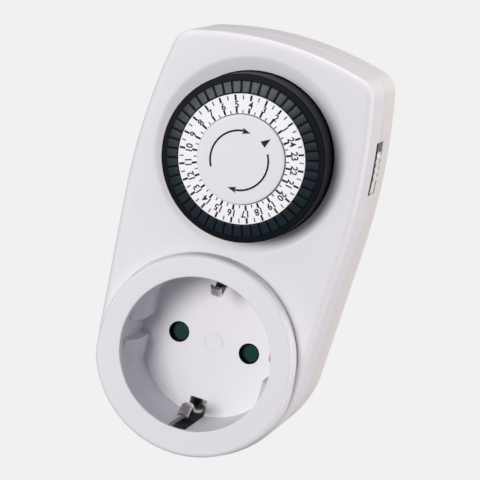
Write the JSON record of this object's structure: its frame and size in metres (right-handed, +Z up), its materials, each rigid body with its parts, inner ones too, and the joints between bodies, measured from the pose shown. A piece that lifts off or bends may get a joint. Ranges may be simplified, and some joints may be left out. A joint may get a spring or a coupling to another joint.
{
  "type": "plug-in timer switch",
  "caption": "Plug-in mechanical timer switch: white two-shell housing, earthed socket in front, plug behind, turning dial with push-in tappets and an override slider.",
  "frame": {"origin": "centre of the round plug's end face, midway between its two pins, where the plug meets the floor of a wall socket", "axes": "+Z up the housing from the socket to the dial, -Y towards the user (dial and socket face -Y), +Y along the pins into the wall, +X to the right seen from the front"},
  "size_m": [0.0582, 0.0707, 0.1065],
  "materials": {
    "white_abs": "glossy moulded white ABS",
    "shell_back": "glossy moulded white ABS",
    "slider_white": "satin white moulded plastic",
    "scale_white": "white moulded ring with a dark printed hour scale",
    "disc_white": "white moulded disc with printed direction arrows and a pointer",
    "dial_black": "near-black moulded plastic",
    "tappet_slate": "satin slate-coloured moulded plastic",
    "shutter_green": "dark green moulded plastic",
    "nickel": "bright nickel plating",
    "zinc_steel": "zinc-plated steel",
    "brass": "rolled brass",
    "bronze": "spring bronze",
    "natural_plastic": "natural acetal",
    "insulator": "grey moulded insulating plastic",
    "copper_wire": "enamelled copper winding",
    "magnet": "pressed ferrite",
    "resistor_body": "lacquered ceramic",
    "lead_brown": "brown wire insulation"
  },
  "bodies": {
    "housing": {"front_shell": "white_abs", "rear_shell": "shell_back", "housing_screws": "zinc_steel", "shutter_spring": "zinc_steel", "contact_carrier": "insulator", "line_contact": "brass", "neutral_contact": "brass", "line_pin": "nickel", "neutral_pin": "nickel", "neutral_bar": "brass", "line_in_bar": "brass", "line_out_bar": "brass", "earth_clip_top": "nickel", "earth_clip_bottom": "nickel", "earth_bridge": "nickel", "mechanism_plate": "natural_plastic", "mechanism_screws": "zinc_steel", "gear_arbors": "zinc_steel", "motor_case": "zinc_steel", "motor_cover": "zinc_steel", "motor_coil": "copper_wire", "motor_gearbox": "natural_plastic", "centre_disc": "disc_white", "lever_pin": "zinc_steel", "motor_leads": "lead_brown", "series_resistor": "resistor_body"},
    "dial": {"dial_drum": "dial_black", "dial_scale": "scale_white"},
    "third_gear": {"third_gear": "natural_plastic"},
    "second_gear": {"second_gear": "natural_plastic"},
    "motor_pinion": {"motor_pinion": "brass"},
    "motor_rotor": {"motor_rotor": "magnet"},
    "shutter": {"shutter": "shutter_green"},
    "override_slider": {"override_slider": "slider_white"},
    "follower_lever": {"follower_lever": "insulator"},
    "switch_blade": {"switch_blade": "bronze"},
    "tappets_hour_01": {"tappets_hour_01": "tappet_slate"},
    "tappets_hour_02": {"tappets_hour_02": "tappet_slate"},
    "tappets_hour_03": {"tappets_hour_03": "tappet_slate"},
    "tappets_hour_04": {"tappets_hour_04": "tappet_slate"},
    "tappets_hour_05": {"tappets_hour_05": "tappet_slate"},
    "tappets_hour_06": {"tappets_hour_06": "tappet_slate"},
    "tappets_hour_07": {"tappets_hour_07": "tappet_slate"},
    "tappets_hour_08": {"tappets_hour_08": "tappet_slate"},
    "tappets_hour_09": {"tappets_hour_09": "tappet_slate"},
    "tappets_hour_10": {"tappets_hour_10": "tappet_slate"},
    "tappets_hour_11": {"tappets_hour_11": "tappet_slate"},
    "tappets_hour_12": {"tappets_hour_12": "tappet_slate"},
    "tappets_hour_13": {"tappets_hour_13": "tappet_slate"},
    "tappets_hour_14": {"tappets_hour_14": "tappet_slate"},
    "tappets_hour_15": {"tappets_hour_15": "tappet_slate"},
    "tappets_hour_16": {"tappets_hour_16": "tappet_slate"},
    "tappets_hour_17": {"tappets_hour_17": "tappet_slate"},
    "tappets_hour_18": {"tappets_hour_18": "tappet_slate"},
    "tappets_hour_19": {"tappets_hour_19": "tappet_slate"},
    "tappets_hour_20": {"tappets_hour_20": "tappet_slate"},
    "tappets_hour_21": {"tappets_hour_21": "tappet_slate"},
    "tappets_hour_22": {"tappets_hour_22": "tappet_slate"},
    "tappets_hour_23": {"tappets_hour_23": "tappet_slate"},
    "tappets_hour_24": {"tappets_hour_24": "tappet_slate"}
  },
  "joints": [
    {"name": "dial_turn", "type": "hinge", "parent": "housing", "child": "dial", "pos_m": [0, -0.043, 0.051], "axis": [0, 1, 0], "continuous": true},
    {"name": "third_gear_turn", "type": "hinge", "parent": "housing", "child": "third_gear", "pos_m": [-0.01405, -0.032, 0.03093], "axis": [0, 1, 0], "continuous": true},
    {"name": "second_gear_turn", "type": "hinge", "parent": "housing", "child": "second_gear", "pos_m": [-0.00366, -0.0305, 0.03693], "axis": [0, 1, 0], "continuous": true},
    {"name": "motor_pinion_turn", "type": "hinge", "parent": "housing", "child": "motor_pinion", "pos_m": [0.00453, -0.0305, 0.04267], "axis": [0, 1, 0], "continuous": true},
    {"name": "rotor_spin", "type": "hinge", "parent": "housing", "child": "motor_rotor", "pos_m": [0, -0.0225, 0.0505], "axis": [0, 1, 0], "continuous": true},
    {"name": "shutter_turn", "type": "hinge", "parent": "housing", "child": "shutter", "pos_m": [0, -0.0275, 0], "axis": [0, 1, 0], "range_deg": [0, 38], "stiffness_Nm_per_rad": 0.002},
    {"name": "override_slide", "type": "slide", "parent": "housing", "child": "override_slider", "axis": [0, 0, 1], "range_m": [0, 0.0026]},
    {"name": "follower_rock", "type": "hinge", "parent": "housing", "child": "follower_lever", "pos_m": [0.01825, -0.0308, 0.041], "axis": [-1, 0, 0], "range_deg": [0, 6.5]},
    {"name": "blade_flex", "type": "hinge", "parent": "housing", "child": "switch_blade", "pos_m": [0.01825, -0.029, 0.038], "axis": [-1, 0, 0], "range_deg": [0, 5.5]},
    {"name": "push_hour_01", "type": "slide", "parent": "dial", "child": "tappets_hour_01", "axis": [0, 1, 0], "range_m": [0, 0.0024]},
    {"name": "push_hour_02", "type": "slide", "parent": "dial", "child": "tappets_hour_02", "axis": [0, 1, 0], "range_m": [0, 0.0024]},
    {"name": "push_hour_03", "type": "slide", "parent": "dial", "child": "tappets_hour_03", "axis": [0, 1, 0], "range_m": [0, 0.0024]},
    {"name": "push_hour_04", "type": "slide", "parent": "dial", "child": "tappets_hour_04", "axis": [0, 1, 0], "range_m": [0, 0.0024]},
    {"name": "push_hour_05", "type": "slide", "parent": "dial", "child": "tappets_hour_05", "axis": [0, 1, 0], "range_m": [0, 0.0024]},
    {"name": "push_hour_06", "type": "slide", "parent": "dial", "child": "tappets_hour_06", "axis": [0, 1, 0], "range_m": [0, 0.0024]},
    {"name": "push_hour_07", "type": "slide", "parent": "dial", "child": "tappets_hour_07", "axis": [0, 1, 0], "range_m": [0, 0.0024]},
    {"name": "push_hour_08", "type": "slide", "parent": "dial", "child": "tappets_hour_08", "axis": [0, 1, 0], "range_m": [0, 0.0024]},
    {"name": "push_hour_09", "type": "slide", "parent": "dial", "child": "tappets_hour_09", "axis": [0, 1, 0], "range_m": [0, 0.0024]},
    {"name": "push_hour_10", "type": "slide", "parent": "dial", "child": "tappets_hour_10", "axis": [0, 1, 0], "range_m": [0, 0.0024]},
    {"name": "push_hour_11", "type": "slide", "parent": "dial", "child": "tappets_hour_11", "axis": [0, 1, 0], "range_m": [0, 0.0024]},
    {"name": "push_hour_12", "type": "slide", "parent": "dial", "child": "tappets_hour_12", "axis": [0, 1, 0], "range_m": [0, 0.0024]},
    {"name": "push_hour_13", "type": "slide", "parent": "dial", "child": "tappets_hour_13", "axis": [0, 1, 0], "range_m": [0, 0.0024]},
    {"name": "push_hour_14", "type": "slide", "parent": "dial", "child": "tappets_hour_14", "axis": [0, 1, 0], "range_m": [0, 0.0024]},
    {"name": "push_hour_15", "type": "slide", "parent": "dial", "child": "tappets_hour_15", "axis": [0, 1, 0], "range_m": [0, 0.0024]},
    {"name": "push_hour_16", "type": "slide", "parent": "dial", "child": "tappets_hour_16", "axis": [0, 1, 0], "range_m": [0, 0.0024]},
    {"name": "push_hour_17", "type": "slide", "parent": "dial", "child": "tappets_hour_17", "axis": [0, 1, 0], "range_m": [0, 0.0024]},
    {"name": "push_hour_18", "type": "slide", "parent": "dial", "child": "tappets_hour_18", "axis": [0, 1, 0], "range_m": [0, 0.0024]},
    {"name": "push_hour_19", "type": "slide", "parent": "dial", "child": "tappets_hour_19", "axis": [0, 1, 0], "range_m": [0, 0.0024]},
    {"name": "push_hour_20", "type": "slide", "parent": "dial", "child": "tappets_hour_20", "axis": [0, 1, 0], "range_m": [0, 0.0024]},
    {"name": "push_hour_21", "type": "slide", "parent": "dial", "child": "tappets_hour_21", "axis": [0, 1, 0], "range_m": [0, 0.0024]},
    {"name": "push_hour_22", "type": "slide", "parent": "dial", "child": "tappets_hour_22", "axis": [0, 1, 0], "range_m": [0, 0.0024]},
    {"name": "push_hour_23", "type": "slide", "parent": "dial", "child": "tappets_hour_23", "axis": [0, 1, 0], "range_m": [0, 0.0024]},
    {"name": "push_hour_24", "type": "slide", "parent": "dial", "child": "tappets_hour_24", "axis": [0, 1, 0], "range_m": [0, 0.0024]}
  ],
  "couplings": [
    {"joint": "third_gear_turn", "follows": "dial_turn", "ratio": -6},
    {"joint": "second_gear_turn", "follows": "dial_turn", "ratio": 24},
    {"joint": "motor_pinion_turn", "follows": "dial_turn", "ratio": -96},
    {"joint": "follower_rock", "follows": "override_slide", "rad_per_m": 41.667},
    {"joint": "blade_flex", "follows": "override_slide", "rad_per_m": 35.088}
  ]
}
